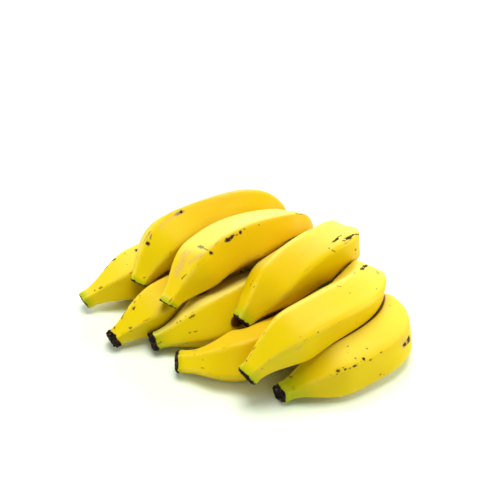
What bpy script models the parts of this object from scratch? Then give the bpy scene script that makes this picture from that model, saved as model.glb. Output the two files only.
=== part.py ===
"""A hand of nine short, angular dessert bananas, as cut from the bunch and laid on a table.

Two rows of fingers grow from one crown. Five lie on the surface and four arch over them. Every
finger narrows to a bottle-shaped neck at its tip, and to a stalk at its shoulder, which meets a
collar on the crown. X runs across the hand, +Y towards the crown and +Z up. The origin is under
the middle of the hand, on the surface. Lengths are in millimetres until a mesh is made.
"""

from collections import namedtuple
from math import ceil, cos, pi, radians, sin

import bpy
import numpy as np

MM = 0.001

# The middle of the hand's footprint, in the layout that the lengths below use
ORIGIN = (2.7, -8.0, 0.0)

# Where each finger lies: tip is the middle of its blunt end, and front, middle and back are on its
# middle line. slot is the place of its stalk in its row on the crown, counted from the left.
# girth is from the middle line to a flat face at the belly, neck the length of the narrow end, and
# shoulder the length over which the belly narrows to the stalk. ridge is the angle of a ridge from
# the top towards +X, halfway along, and twist is how far the ridges turn from the tip to the stalk.
# swing is how far the stalk turns out of its row's fan. All three are in degrees.

Finger = namedtuple(
    "Finger",
    "name row slot tip front middle back girth neck tip_radius ridge twist shoulder swing",
    defaults=(30, 0),
)

FINGERS = (
    Finger(
        "lower_finger_1", "lower", 0,
        tip=(-86, -89, 8), front=(-80, -60, 16), middle=(-80, -20, 16), back=(-68, 28, 17),
        girth=16.4, neck=9, tip_radius=6.0, ridge=40, twist=15,
    ),
    Finger(
        "lower_finger_2", "lower", 1,
        tip=(-41, -97, 8), front=(-39, -68, 16), middle=(-40, -25, 16), back=(-34, 20, 17),
        girth=16.6, neck=9, tip_radius=6.0, ridge=-22, twist=-12,
    ),
    Finger(
        "lower_finger_3", "lower", 2,
        tip=(-22, -76, 8), front=(-8, -36, 17), middle=(-4, -5, 19), back=(-1, 22, 19),
        girth=18.4, neck=14, tip_radius=6.5, ridge=9, twist=-25,
    ),
    Finger(
        "lower_finger_4", "lower", 3,
        tip=(5, -74, 9), front=(31, -49, 16), middle=(40, -12, 17), back=(36, 25, 17),
        girth=16.6, neck=18, tip_radius=7.0, ridge=20, twist=10,
    ),
    Finger(
        "lower_finger_5", "lower", 4,
        tip=(71, -37, 8), front=(79, -10, 16), middle=(84, 22, 19), back=(79, 50, 19),
        girth=18.5, neck=12, tip_radius=6.5, ridge=48, twist=-20,
    ),
    Finger(
        "upper_finger_1", "upper", 0,
        tip=(-57, -60, 30), front=(-63, -32, 48), middle=(-58, 7, 53), back=(-44, 41, 50),
        girth=16.6, neck=5, tip_radius=7.0, ridge=-3, twist=25,
    ),
    Finger(
        "upper_finger_2", "upper", 1,
        tip=(-21, -61, 36), front=(-27, -29, 49), middle=(-22, 8, 57), back=(-12, 44, 52),
        girth=16.6, neck=5, tip_radius=6.3, ridge=18, twist=-40,
    ),
    Finger(
        "upper_finger_3", "upper", 2,
        tip=(18, -27, 28), front=(16, -2, 43), middle=(18, 28, 54), back=(18, 60, 53),
        girth=17.0, neck=5, tip_radius=7.0, ridge=57, twist=-55,
    ),
    Finger(
        "upper_finger_4", "upper", 3,
        tip=(59, -56, 26), front=(63, -30, 43), middle=(65, 4, 49), back=(56, 46, 43),
        girth=16.8, neck=12, tip_radius=7.2, ridge=-12, twist=10, shoulder=24, swing=24,
    ),
)

# The crown is a bar across the hand's back, cut with a knife behind, whose stalks fan out in two rows
CROWN_MIDDLE = (-8.0, 63.5)
CROWN_BEND = 0.5
CROWN_DEPTH = 17.0
CROWN_CUT = 2.0
CROWN_HEIGHT = 27.5
CROWN_SINK = 1.0
CROWN_END = 2.5
SLOT_SPACING = 15.6
FAN = 14.0
LEAN = 15.0
ROW_FIRST_SLOT = {"lower": -2.0, "upper": -1.5}
ROW_HEIGHT = {"lower": 10.5, "upper": 21.0}
ROW_INSET = {"lower": 0.0, "upper": 7.0}
ROW_RISE = {"lower": 12.0, "upper": 62.0}
ROW_RISE_FALL = {"lower": 0.0, "upper": 13.0}
COLLAR_LENGTH = {"lower": 9.0, "upper": 12.0}
STALK_RADIUS = 6.3

# A finger's section is five flat faces with rounded ridges between them
RIDGES = 5
SHARPNESS = 7.0
SIDES = 20
RIDGE_REACH = 1.06
RING_STEP = 6.5
STALK_LENGTH = 11.0
SHOULDER_POWER = 0.6
FLARE_LENGTH = 34.0
FLARE_POWER = 0.85

# The dried flower end: lengths from the tip and shares of the tip's radius, inside to outside
TIP_RINGS = ((0.9, 0.35), (0.2, 0.62), (0.0, 0.88), (1.4, 1.02), (3.4, 1.04), (5.2, 0.98))

# The share of its neck over which a finger doesn't widen at all
NECK_STRAIGHT = 0.5

# The crown's bar: how full it is at its ends, and how square its plan, its depth and its height are
CUSHION_STEPS = 22
CUSHION_SIDES = 28
CUSHION_END_FULLNESS = 0.12
CUSHION_PLAN_POWER = 3.5
CUSHION_DEPTH_POWER = 0.55
CUSHION_HEIGHT_POWER = 0.7

# A collar starts inside the bar and narrows to the stalk over its last stretch
COLLAR_START = -7.0
COLLAR_TAPER = 3.5
COLLAR_FOOT_SHARE = 1.3
COLLAR_LIP_SHARE = 1.06

# The clear space between neighbouring pieces, and how many times the search for it halves its step
GAP = 0.4
PRESS_STEPS = 12

PEEL = {"lower": (0.80, 0.56, 0.03), "upper": (0.87, 0.62, 0.04)}
CROWN_COLOUR = (0.52, 0.50, 0.14)
PEEL_ROUGHNESS = 0.42
CROWN_ROUGHNESS = 0.6


def ease(t):
    """0 below 0, 1 above 1, and a smooth S between them."""
    t = np.clip(t, 0.0, 1.0)
    return t * t * (3.0 - 2.0 * t)


def crown_front(slot):
    """Where the crown's front face stands at a place in its row."""
    return np.array([CROWN_MIDDLE[0] + SLOT_SPACING * slot, CROWN_MIDDLE[1] + CROWN_BEND * slot**2, 0.0])


def root_of(finger):
    """Where the finger's stalk leaves the crown, and the direction in which it leaves."""
    slot = ROW_FIRST_SLOT[finger.row] + finger.slot
    turn = radians(LEAN + FAN * slot + finger.swing)
    rise = radians(ROW_RISE[finger.row] - ROW_RISE_FALL[finger.row] * slot**2)
    root = crown_front(slot) + [0.0, ROW_INSET[finger.row], ROW_HEIGHT[finger.row]]
    return root, np.array([sin(turn) * cos(rise), -cos(turn) * cos(rise), sin(rise)])


def smooth_line(points, end_slope, step=1.0):
    """Points about step apart on a cubic spline, free at the first point, with end_slope at the last."""
    points = np.array(points, float)
    chord = np.linalg.norm(np.diff(points, axis=0), axis=1)
    count = len(points)
    system = np.zeros((count, count))
    right = np.zeros((count, 3))
    system[0, :2] = 2.0, 1.0
    right[0] = 3.0 * (points[1] - points[0]) / chord[0]
    for i in range(1, count - 1):
        before, after = chord[i - 1], chord[i]
        system[i, i - 1 : i + 2] = after, 2.0 * (before + after), before
        rise_before = (points[i] - points[i - 1]) / before
        rise_after = (points[i + 1] - points[i]) / after
        right[i] = 3.0 * (after * rise_before + before * rise_after)
    system[-1, -1] = 1.0
    right[-1] = end_slope
    slope = np.linalg.solve(system, right)
    line = [points[0]]
    for i in range(count - 1):
        steps = ceil(chord[i] / step)
        for k in range(1, steps + 1):
            t = k / steps
            line.append(
                points[i] * (1 + 2 * t) * (1 - t) ** 2
                + slope[i] * chord[i] * t * (1 - t) ** 2
                + points[i + 1] * t * t * (3 - 2 * t)
                + slope[i + 1] * chord[i] * t * t * (t - 1)
            )
    return np.array(line)


def middle_line(finger):
    """The finger's middle line, tip to end of stalk, and the length along it at each point."""
    root, out = root_of(finger)
    end = root + out * (COLLAR_LENGTH[finger.row] + GAP)
    line = smooth_line([finger.tip, finger.front, finger.middle, finger.back, end], -out)
    along = np.concatenate([[0.0], np.cumsum(np.linalg.norm(np.diff(line, axis=0), axis=1))])
    return line, along


def girth_at(finger, s, length):
    """From the middle line to a flat face, s from the tip: neck, belly, shoulder and stalk."""
    straight = finger.neck * NECK_STRAIGHT
    front = ease((s - straight) / (FLARE_LENGTH + straight)) ** FLARE_POWER
    back = ease((length - STALK_LENGTH - s) / finger.shoulder) ** SHOULDER_POWER
    body = finger.girth * front * back
    return body + finger.tip_radius * (1 - front) + STALK_RADIUS * (1 - back)


def section(angle):
    """The section's reach at an angle from its first ridge, as a share of its girth."""
    total = 0.0
    for face in range(RIDGES):
        facing = np.cos(angle - (face + 0.5) * 2 * pi / RIDGES)
        total = total + np.maximum(0.0, facing) ** SHARPNESS
    return total ** (-1 / SHARPNESS)


def directions(forward):
    """The directions to the right and to the top of something that runs forward."""
    right = np.cross(forward, [0.0, 0.0, 1.0])
    right /= np.linalg.norm(right)
    return right, np.cross(right, forward)


def ridge_at(finger, share):
    """The angle of the finger's first ridge at a share of its length."""
    return radians(finger.ridge + finger.twist * (share - 0.5))


def ring_at(middle, forward, girth, ridge):
    """A ring of skin points round a middle line that runs forward there."""
    right, top = directions(forward)
    turn = np.arange(SIDES) * 2 * pi / SIDES
    angle = turn + ridge
    reach = (girth * section(turn))[:, None]
    return middle + (right * np.sin(angle)[:, None] + top * np.cos(angle)[:, None]) * reach


def at(line, along, s):
    """The point of the middle line at length s."""
    return np.array([np.interp(s, along, line[:, k]) for k in range(3)])


def clearance(points, line, reach):
    """How far each point is outside the round body of a finger."""
    apart = np.linalg.norm(points[:, None] - line[None], axis=2)
    return (apart - reach[None]).min(axis=1)


def press(points, middle, own, others):
    """Draws skin points in towards the middle until each is nearer to its own finger than to any other."""

    def crowded(trial):
        nearest = np.min([clearance(trial, *other) for other in others], axis=0)
        return clearance(trial, *own) > nearest - GAP

    inner, outer = np.zeros(len(points)), np.ones(len(points))
    free = ~crowded(points)
    for _ in range(PRESS_STEPS):
        share = (inner + outer) / 2
        tight = crowded(middle + (points - middle) * share[:, None])
        outer = np.where(tight, share, outer)
        inner = np.where(tight, inner, share)
    share = np.where(free, 1.0, inner)
    return middle + (points - middle) * share[:, None]


def ring_places(finger, length):
    """Every ring's length along the finger and its share of the girth there."""
    last = TIP_RINGS[-1][0]
    count = ceil((length - last) / RING_STEP)
    rest = [(last + (length - last) * (i + 1) / count, 1.0) for i in range(count)]
    return [*TIP_RINGS, *rest]


def finger_rings(finger, own, others):
    """Rings of skin points from the tip to the end of the stalk."""
    line, along = middle_line(finger)
    length = along[-1]
    rings = []
    for s, share in ring_places(finger, length):
        middle = at(line, along, s)
        forward = at(line, along, s + 1.0) - at(line, along, max(s - 1.0, 0.0))
        forward /= np.linalg.norm(forward)
        ring = ring_at(middle, forward, girth_at(finger, s, length) * share, ridge_at(finger, s / length))
        ring = press(ring, middle, own, others)
        ring[:, 2] = np.maximum(ring[:, 2], 0.0)
        rings.append(ring)
    return rings


def tube_mesh(name, rings):
    """A closed mesh through rings of points, with a fan of triangles over each end."""
    count = len(rings[0])
    points = [p for ring in rings for p in ring]
    faces = []
    for i in range(len(rings) - 1):
        for j in range(count):
            k = (j + 1) % count
            low, high = i * count, (i + 1) * count
            faces.append((low + j, low + k, high + k, high + j))
    for ring, order in ((0, -1), (len(rings) - 1, 1)):
        centre = len(points)
        points.append(np.mean(rings[ring], axis=0))
        start = ring * count
        for j in range(count):
            k = (j + 1) % count
            faces.append((centre, start + j, start + k)[::order])
    mesh = bpy.data.meshes.new(name)
    mesh.from_pydata([tuple((np.array(p) - ORIGIN) * MM) for p in points], [], faces)
    mesh.update()
    return mesh


def material(name, colour, roughness):
    made = bpy.data.materials.new(name)
    made.use_nodes = True
    surface = made.node_tree.nodes["Principled BSDF"]
    surface.inputs["Base Color"].default_value = (*colour, 1.0)
    surface.inputs["Roughness"].default_value = roughness
    surface.inputs["Metallic"].default_value = 0.0
    return made


def add_object(name, mesh, look):
    obj = bpy.data.objects.new(name, mesh)
    obj.data.materials.append(look)
    bpy.context.scene.collection.objects.link(obj)
    return obj


def clear_scene():
    for obj in list(bpy.data.objects):
        bpy.data.objects.remove(obj, do_unlink=True)


def make_fingers():
    bodies = []
    for finger in FINGERS:
        line, along = middle_line(finger)
        bodies.append((line, girth_at(finger, along, along[-1]) * RIDGE_REACH))
    for i, finger in enumerate(FINGERS):
        others = [body for k, body in enumerate(bodies) if k != i]
        rings = finger_rings(finger, bodies[i], others)
        look = material(finger.name, PEEL[finger.row], PEEL_ROUGHNESS)
        add_object(finger.name, tube_mesh(finger.name, rings), look).data.shade_smooth()


def bulge(share, power):
    """A rounded fall from 1 in the middle to 0 at share 1."""
    return (1 - min(abs(share), 1.0) ** power) ** (1 / power)


def cushion_mesh():
    """The crown's bar: a rounded section carried across the hand and drawn in at both ends."""
    rings = []
    for i in range(CUSHION_STEPS + 1):
        share = -1 + 2 * i / CUSHION_STEPS
        fullness = bulge(share, CUSHION_PLAN_POWER)
        fullness = CUSHION_END_FULLNESS + (1 - CUSHION_END_FULLNESS) * fullness
        middle = crown_front(CROWN_END * share) + [0.0, CROWN_DEPTH / 2, CROWN_HEIGHT / 2]
        ring = []
        for j in range(CUSHION_SIDES):
            angle = 2 * pi * j / CUSHION_SIDES
            c, s = cos(angle), sin(angle)
            across = np.copysign(abs(c) ** CUSHION_DEPTH_POWER, c) * fullness * CROWN_DEPTH / 2
            across = min(across, CROWN_DEPTH / 2 - CROWN_CUT)
            up = np.copysign(abs(s) ** CUSHION_HEIGHT_POWER, s) * (CROWN_HEIGHT / 2) * fullness
            ring.append(middle + [0.0, across, up])
        ring = np.array(ring)
        ring[:, 2] = np.maximum(ring[:, 2] - CROWN_SINK, 0.0)
        rings.append(ring)
    return tube_mesh("crown", rings)


def collar_mesh(finger):
    """The foot of a stalk on the crown, from inside the cushion to where the finger's own stalk meets it."""
    root, out = root_of(finger)
    length = COLLAR_LENGTH[finger.row]
    shares = (
        (COLLAR_START, COLLAR_FOOT_SHARE),
        (0.0, COLLAR_FOOT_SHARE),
        (length - COLLAR_TAPER, COLLAR_LIP_SHARE),
        (length, 1.0),
    )
    rings = []
    for s, share in shares:
        rings.append(ring_at(root + out * s, out, STALK_RADIUS * share, ridge_at(finger, 1.0)))
    return tube_mesh("collar_" + finger.name, rings)


def make_crown():
    """The cushion with the nine collars fused to it."""
    crown = add_object("crown", cushion_mesh(), material("crown", CROWN_COLOUR, CROWN_ROUGHNESS))
    collars = bpy.data.collections.new("collars")
    bpy.context.scene.collection.children.link(collars)
    for finger in FINGERS:
        mesh = collar_mesh(finger)
        collars.objects.link(bpy.data.objects.new(mesh.name, mesh))
    union = crown.modifiers.new("union", "BOOLEAN")
    union.operand_type = "COLLECTION"
    union.collection = collars
    union.operation = "UNION"
    union.solver = "EXACT"
    graph = bpy.context.evaluated_depsgraph_get()
    crown.data = bpy.data.meshes.new_from_object(crown.evaluated_get(graph))
    crown.modifiers.clear()
    for obj in list(collars.objects):
        bpy.data.objects.remove(obj, do_unlink=True)
    bpy.data.collections.remove(collars)
    crown.data.shade_smooth()


clear_scene()
make_fingers()
make_crown()
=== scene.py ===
"""The looks of a hand of nine short, angular dessert bananas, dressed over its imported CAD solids.

Each finger's skin is made again at a fine pitch from the CAD model's own lengths, with its bruises,
scrapes, green neck and dried flower end. The crown is made again as one grown piece with its knife
cut. X runs across the hand, +Y towards the crown and +Z up. Lengths are in millimetres, in the same
layout as the CAD source uses, until a mesh is made.
"""

from collections import namedtuple
from math import ceil, cos, pi, radians, sin, tan

import bpy
import numpy as np
from mathutils import Matrix, Vector


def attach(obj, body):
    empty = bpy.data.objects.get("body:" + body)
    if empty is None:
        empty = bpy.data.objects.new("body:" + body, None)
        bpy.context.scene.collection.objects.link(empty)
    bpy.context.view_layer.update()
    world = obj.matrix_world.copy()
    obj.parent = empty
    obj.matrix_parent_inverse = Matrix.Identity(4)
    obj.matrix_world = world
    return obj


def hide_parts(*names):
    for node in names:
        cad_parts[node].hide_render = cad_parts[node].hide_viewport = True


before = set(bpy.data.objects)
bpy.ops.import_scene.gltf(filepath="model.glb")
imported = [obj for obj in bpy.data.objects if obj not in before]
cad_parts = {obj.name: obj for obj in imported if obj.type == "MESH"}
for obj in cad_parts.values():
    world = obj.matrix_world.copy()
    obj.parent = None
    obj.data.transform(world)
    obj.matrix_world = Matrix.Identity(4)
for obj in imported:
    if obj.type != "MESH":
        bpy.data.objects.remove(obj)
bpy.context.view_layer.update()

MM = 0.001
PER_SQUARE_CM = 10000.0
ORIGIN = np.array([2.7, -8.0, 0.0])

# -------------------- the hand's lengths, as in the CAD

Finger = namedtuple(
    "Finger",
    "name row slot tip front middle back girth neck tip_radius ridge twist shoulder swing",
    defaults=(30, 0),
)

FINGERS = (
    Finger(
        "lower_finger_1", "lower", 0,
        tip=(-86, -89, 8), front=(-80, -60, 16), middle=(-80, -20, 16), back=(-68, 28, 17),
        girth=16.4, neck=9, tip_radius=6.0, ridge=40, twist=15,
    ),
    Finger(
        "lower_finger_2", "lower", 1,
        tip=(-41, -97, 8), front=(-39, -68, 16), middle=(-40, -25, 16), back=(-34, 20, 17),
        girth=16.6, neck=9, tip_radius=6.0, ridge=-22, twist=-12,
    ),
    Finger(
        "lower_finger_3", "lower", 2,
        tip=(-22, -76, 8), front=(-8, -36, 17), middle=(-4, -5, 19), back=(-1, 22, 19),
        girth=18.4, neck=14, tip_radius=6.5, ridge=9, twist=-25,
    ),
    Finger(
        "lower_finger_4", "lower", 3,
        tip=(5, -74, 9), front=(31, -49, 16), middle=(40, -12, 17), back=(36, 25, 17),
        girth=16.6, neck=18, tip_radius=7.0, ridge=20, twist=10,
    ),
    Finger(
        "lower_finger_5", "lower", 4,
        tip=(71, -37, 8), front=(79, -10, 16), middle=(84, 22, 19), back=(79, 50, 19),
        girth=18.5, neck=12, tip_radius=6.5, ridge=48, twist=-20,
    ),
    Finger(
        "upper_finger_1", "upper", 0,
        tip=(-57, -60, 30), front=(-63, -32, 48), middle=(-58, 7, 53), back=(-44, 41, 50),
        girth=16.6, neck=5, tip_radius=7.0, ridge=-3, twist=25,
    ),
    Finger(
        "upper_finger_2", "upper", 1,
        tip=(-21, -61, 36), front=(-27, -29, 49), middle=(-22, 8, 57), back=(-12, 44, 52),
        girth=16.6, neck=5, tip_radius=6.3, ridge=18, twist=-40,
    ),
    Finger(
        "upper_finger_3", "upper", 2,
        tip=(18, -27, 28), front=(16, -2, 43), middle=(18, 28, 54), back=(18, 60, 53),
        girth=17.0, neck=5, tip_radius=7.0, ridge=57, twist=-55,
    ),
    Finger(
        "upper_finger_4", "upper", 3,
        tip=(59, -56, 26), front=(63, -30, 43), middle=(65, 4, 49), back=(56, 46, 43),
        girth=16.8, neck=12, tip_radius=7.2, ridge=-12, twist=10, shoulder=24, swing=24,
    ),
)

CROWN_MIDDLE = (-8.0, 63.5)
CROWN_BEND = 0.5
CROWN_DEPTH = 17.0
CROWN_CUT = 2.0
CROWN_HEIGHT = 27.5
CROWN_SINK = 1.0
CROWN_END = 2.5
CUSHION_END_FULLNESS = 0.12
CUSHION_PLAN_POWER = 3.5
CUSHION_DEPTH_POWER = 0.55
CUSHION_HEIGHT_POWER = 0.7
SLOT_SPACING = 15.6
FAN = 14.0
LEAN = 15.0
ROW_FIRST_SLOT = {"lower": -2.0, "upper": -1.5}
ROW_HEIGHT = {"lower": 10.5, "upper": 21.0}
ROW_INSET = {"lower": 0.0, "upper": 7.0}
ROW_RISE = {"lower": 12.0, "upper": 62.0}
ROW_RISE_FALL = {"lower": 0.0, "upper": 13.0}
COLLAR_LENGTH = {"lower": 9.0, "upper": 12.0}
COLLAR_START = -7.0
COLLAR_TAPER = 3.5
COLLAR_FOOT_SHARE = 1.3
COLLAR_LIP = 0.8
COLLAR_LIP_SHARE = 1.06
STALK_RADIUS = 6.3
RIDGES = 5
SHARPNESS = 14.0
SECTION_SHARE = 1.0
RIDGE_REACH = 1.06
STALK_LENGTH = 11.0
SHOULDER_POWER = 0.6
FLARE_LENGTH = 34.0
FLARE_POWER = 0.85
NECK_STRAIGHT = 0.5
GAP = 0.4
PRESS_STEPS = 12

# -------------------- how finely the skin is made

SKIN_SIDES = 168
SKIN_STEP = 0.66
STALK_IN_COLLAR = 2.0
CROWN_PITCH = 0.8

# How each finger is finished. Its dried end reaches dark up the neck and is crumple rough, with so
# many lumps to the square centimetre; it narrows by taper at its rim, and its plane leans by lean,
# in degrees upwards and to the right. The neck is green over green, the yellow turns gold, and pale
# is how strongly the faces that look up towards the lamps are painted paler, as painted light.

Finish = namedtuple("Finish", "dark crumple lumps taper lean green gold pale")

FINISHES = {
    "lower_finger_1": Finish(0.8, 0.2, 0, 0.14, (-12, 0), 6, 0.2, 0.35),
    "lower_finger_2": Finish(4.6, 0.9, 9, 0.34, (0, 0), 5, 0.4, 0.15),
    "lower_finger_3": Finish(3.8, 0.8, 9, 0.30, (4, 4), 14, 0.2, 1.0),
    "lower_finger_4": Finish(3.0, 0.5, 4, 0.20, (12, 14), 7, 0.5, 0.1),
    "lower_finger_5": Finish(1.0, 0.5, 4, 0.16, (18, 18), 22, 0.2, 0.4),
    "upper_finger_1": Finish(0.8, 0.2, 0, 0.12, (-11, 0), 5, 0.7, 0.0),
    "upper_finger_2": Finish(0.6, 0.2, 0, 0.12, (-19, 0), 5, 0.8, 0.9),
    "upper_finger_3": Finish(1.8, 0.6, 7, 0.22, (0, 0), 10, 0.25, 0.85),
    "upper_finger_4": Finish(2.0, 0.6, 6, 0.20, (8, 6), 9, 0.3, 0.6),
}

# -------------------- the camera

AZIMUTH = 52.0
ELEVATION = 40.0
DISTANCE = 1000.0
FRAME_WIDTH = 500
FOCAL_LENGTH = 1400.0
ORIGIN_IN_FRAME = (256.0, 322.0)


def camera_axes():
    """The camera's right, up and backward directions."""
    turn, lift = radians(AZIMUTH), radians(ELEVATION)
    right = np.array([cos(turn), sin(turn), 0.0])
    back = np.array([sin(turn) * cos(lift), -cos(turn) * cos(lift), sin(lift)])
    return right, np.cross(back, right), back


def camera_place():
    """Where the camera stands, in the layout's millimetres."""
    right, up, back = camera_axes()
    across = (ORIGIN_IN_FRAME[0] - FRAME_WIDTH / 2) / FOCAL_LENGTH * DISTANCE
    above = (FRAME_WIDTH / 2 - ORIGIN_IN_FRAME[1]) / FOCAL_LENGTH * DISTANCE
    return back * DISTANCE - right * across - up * above


def in_frame(points):
    """Where points of the layout fall in the picture."""
    right, up, back = camera_axes()
    offset = points - camera_place()
    depth = -(offset @ back)
    x = FRAME_WIDTH / 2 + FOCAL_LENGTH * (offset @ right) / depth
    y = FRAME_WIDTH / 2 - FOCAL_LENGTH * (offset @ up) / depth
    return np.stack([x, y], axis=-1)


# -------------------- marks on the skin

# Each mark is a spot at a point of the picture, or a line between two, then a width in millimetres.
# The script lays it on the skin that shows there. black is a healed scrape, grey a thin scab, brown a
# rub or a speck, and scuff a wide, faint, pinkish rub.

MARK_KINDS = ("black", "grey", "brown", "scuff")
MARK_SPREAD = 1.2
LEAST_FACING = 0.12

MARKS = {
    "lower_finger_1": {
        "black": ((103, 268, 106, 266, 1.3), (112, 260, 115, 259, 1.2), (137, 250, 139, 249, 1.8)),
        "brown": (
            (107, 264, 112, 261, 0.8), (125, 254, 1.0), (100, 288, 101, 287, 1.5), (95, 290, 1.2),
            (127, 265, 0.6),
        ),
    },
    "lower_finger_2": {
        "black": ((134, 308, 1.6), (126, 310, 127, 309, 1.3)),
        "brown": (
            (140, 296, 140, 297, 0.8), (134, 303, 136, 301, 0.8), (125, 312, 121, 319, 0.9), (114, 328, 1.5),
            (130, 328, 131, 327, 1.5), (130, 331, 131, 331, 0.7),
        ),
    },
    "lower_finger_3": {
        "black": ((155, 344, 1.2),),
        "brown": (
            (180, 321, 181, 321, 1.2), (177, 323, 178, 322, 0.7), (185, 316, 0.9), (189, 318, 194, 315, 1.1),
            (188, 333, 191, 332, 0.6), (194, 332, 197, 331, 0.8), (158, 344, 161, 342, 0.9),
        ),
    },
    "lower_finger_4": {
        "brown": ((193, 351, 197, 350, 0.9), (194, 355, 0.9), (201, 368, 204, 368, 0.6)),
    },
    "lower_finger_5": {
        "black": (
            (338, 370, 1.5), (345, 369, 1.1), (354, 366, 356, 365, 1.0), (364, 359, 364, 360, 1.3),
            (408, 339, 409, 341, 1.9), (404, 344, 405, 345, 1.7),
        ),
        "brown": (
            (343, 368, 0.9), (349, 369, 351, 368, 0.9), (357, 369, 0.8), (356, 358, 1.2), (361, 362, 0.8),
            (370, 360, 371, 360, 1.3), (367, 348, 1.2), (381, 352, 382, 352, 1.1), (347, 346, 348, 346, 0.9),
            (348, 352, 0.9), (337, 374, 339, 372, 0.7), (380, 375, 380, 374, 0.9), (384, 375, 0.7),
            (390, 306, 1.0), (290, 377, 291, 377, 1.5), (293, 387, 0.9),
        ),
        "scuff": ((403, 341, 407, 344, 4.0),),
    },
    "upper_finger_1": {
        "black": ((180, 212, 182, 212, 1.3), (147, 243, 148, 244, 1.4)),
        "grey": ((177, 214, 182, 211, 1.9), (151, 236, 151, 238, 1.3), (143, 243, 150, 232, 0.9)),
        "brown": ((144, 277, 145, 278, 1.0),),
        "scuff": ((161, 227, 176, 215, 1.3),),
    },
    "upper_finger_2": {
        "black": (
            (227, 240, 229, 239, 1.9), (231, 238, 233, 236, 1.6), (240, 233, 241, 232, 1.3),
            (210, 253, 212, 253, 1.5),
        ),
        "grey": ((226, 242, 229, 241, 1.1), (199, 246, 203, 248, 1.7), (296, 213, 297, 214, 1.0)),
        "brown": (
            (236, 235, 238, 234, 0.7), (244, 229, 245, 229, 0.9), (204, 249, 209, 251, 0.7),
            (182, 279, 184, 276, 1.0), (184, 276, 187, 274, 0.6), (299, 214, 302, 214, 0.8),
        ),
        "scuff": ((186, 254, 183, 260, 4.0), (181, 266, 178, 271, 4.5), (190, 262, 204, 256, 2.0)),
    },
    "upper_finger_3": {
        "black": (
            (333, 242, 338, 238, 1.0), (347, 238, 349, 238, 2.0), (350, 237, 353, 235, 0.9),
            (235, 318, 236, 320, 1.4),
        ),
        "brown": (
            (338, 237, 341, 235, 0.7), (343, 241, 345, 240, 0.9), (355, 234, 359, 234, 0.9), (329, 248, 1.1),
            (331, 250, 335, 252, 0.6), (355, 249, 356, 250, 0.9), (356, 254, 0.7), (250, 286, 251, 284, 0.9),
            (252, 282, 253, 280, 0.8), (254, 287, 0.9), (271, 259, 0.7),
        ),
        "scuff": ((282, 297, 296, 287, 1.0),),
    },
    "upper_finger_4": {
        "black": ((361, 269, 363, 268, 1.4), (363, 267, 367, 265, 1.2)),
        "grey": ((377, 272, 378, 273, 1.8),),
        "brown": (
            (377, 289, 0.9), (337, 286, 341, 287, 0.6), (350, 293, 351, 293, 0.5), (318, 332, 1.2),
            (356, 322, 357, 321, 0.8), (262, 369, 1.0), (246, 361, 247, 360, 0.9), (259, 343, 0.6),
        ),
        "scuff": ((297, 349, 301, 347, 1.4),),
    },
}

# -------------------- the shape of a finger


def ease(t):
    """0 below 0, 1 above 1, and a smooth S between them."""
    t = np.clip(t, 0.0, 1.0)
    return t * t * (3.0 - 2.0 * t)


def crown_front(slot):
    """Where the crown's front face stands at a place in its row."""
    return np.array([CROWN_MIDDLE[0] + SLOT_SPACING * slot, CROWN_MIDDLE[1] + CROWN_BEND * slot**2, 0.0])


def root_of(finger):
    """Where the finger's stalk leaves the crown, and the direction in which it leaves."""
    slot = ROW_FIRST_SLOT[finger.row] + finger.slot
    turn = radians(LEAN + FAN * slot + finger.swing)
    rise = radians(ROW_RISE[finger.row] - ROW_RISE_FALL[finger.row] * slot**2)
    root = crown_front(slot) + [0.0, ROW_INSET[finger.row], ROW_HEIGHT[finger.row]]
    return root, np.array([sin(turn) * cos(rise), -cos(turn) * cos(rise), sin(rise)])


def smooth_line(points, end_slope, step=1.0):
    """Points about step apart on a cubic spline through points, free at the first, with end_slope at the last."""
    points = np.array(points, float)
    chord = np.linalg.norm(np.diff(points, axis=0), axis=1)
    count = len(points)
    system = np.zeros((count, count))
    right = np.zeros((count, 3))
    system[0, :2] = 2.0, 1.0
    right[0] = 3.0 * (points[1] - points[0]) / chord[0]
    for i in range(1, count - 1):
        before, after = chord[i - 1], chord[i]
        system[i, i - 1 : i + 2] = after, 2.0 * (before + after), before
        rise_before = (points[i] - points[i - 1]) / before
        rise_after = (points[i + 1] - points[i]) / after
        right[i] = 3.0 * (after * rise_before + before * rise_after)
    system[-1, -1] = 1.0
    right[-1] = end_slope
    slope = np.linalg.solve(system, right)
    line = [points[0]]
    for i in range(count - 1):
        steps = ceil(chord[i] / step)
        for k in range(1, steps + 1):
            t = k / steps
            line.append(
                points[i] * (1 + 2 * t) * (1 - t) ** 2
                + slope[i] * chord[i] * t * (1 - t) ** 2
                + points[i + 1] * t * t * (3 - 2 * t)
                + slope[i + 1] * chord[i] * t * t * (t - 1)
            )
    return np.array(line)


def lengths_along(line):
    """The length along a line at each of its points."""
    return np.concatenate([[0.0], np.cumsum(np.linalg.norm(np.diff(line, axis=0), axis=1))])


def middle_line(finger):
    """The finger's middle line from its tip to the end of its stalk, and the length along it at each point."""
    root, out = root_of(finger)
    end = root + out * (COLLAR_LENGTH[finger.row] + GAP)
    line = smooth_line([finger.tip, finger.front, finger.middle, finger.back, end], -out)
    return line, lengths_along(line)


def girth_at(finger, s, length):
    """From the middle line to a flat face, s from the tip: neck, belly, shoulder and stalk."""
    straight = finger.neck * NECK_STRAIGHT
    front = ease((s - straight) / (FLARE_LENGTH + straight)) ** FLARE_POWER
    back = ease((length - STALK_LENGTH - s) / finger.shoulder) ** SHOULDER_POWER
    body = finger.girth * front * back
    return body + finger.tip_radius * (1 - front) + STALK_RADIUS * (1 - back)


def section(angle):
    """The section's reach at an angle from its first ridge, as a share of its girth."""
    total = 0.0
    for face in range(RIDGES):
        facing = np.cos(angle - (face + 0.5) * 2 * pi / RIDGES)
        total = total + np.maximum(0.0, facing) ** SHARPNESS
    return SECTION_SHARE * total ** (-1 / SHARPNESS)


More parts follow.
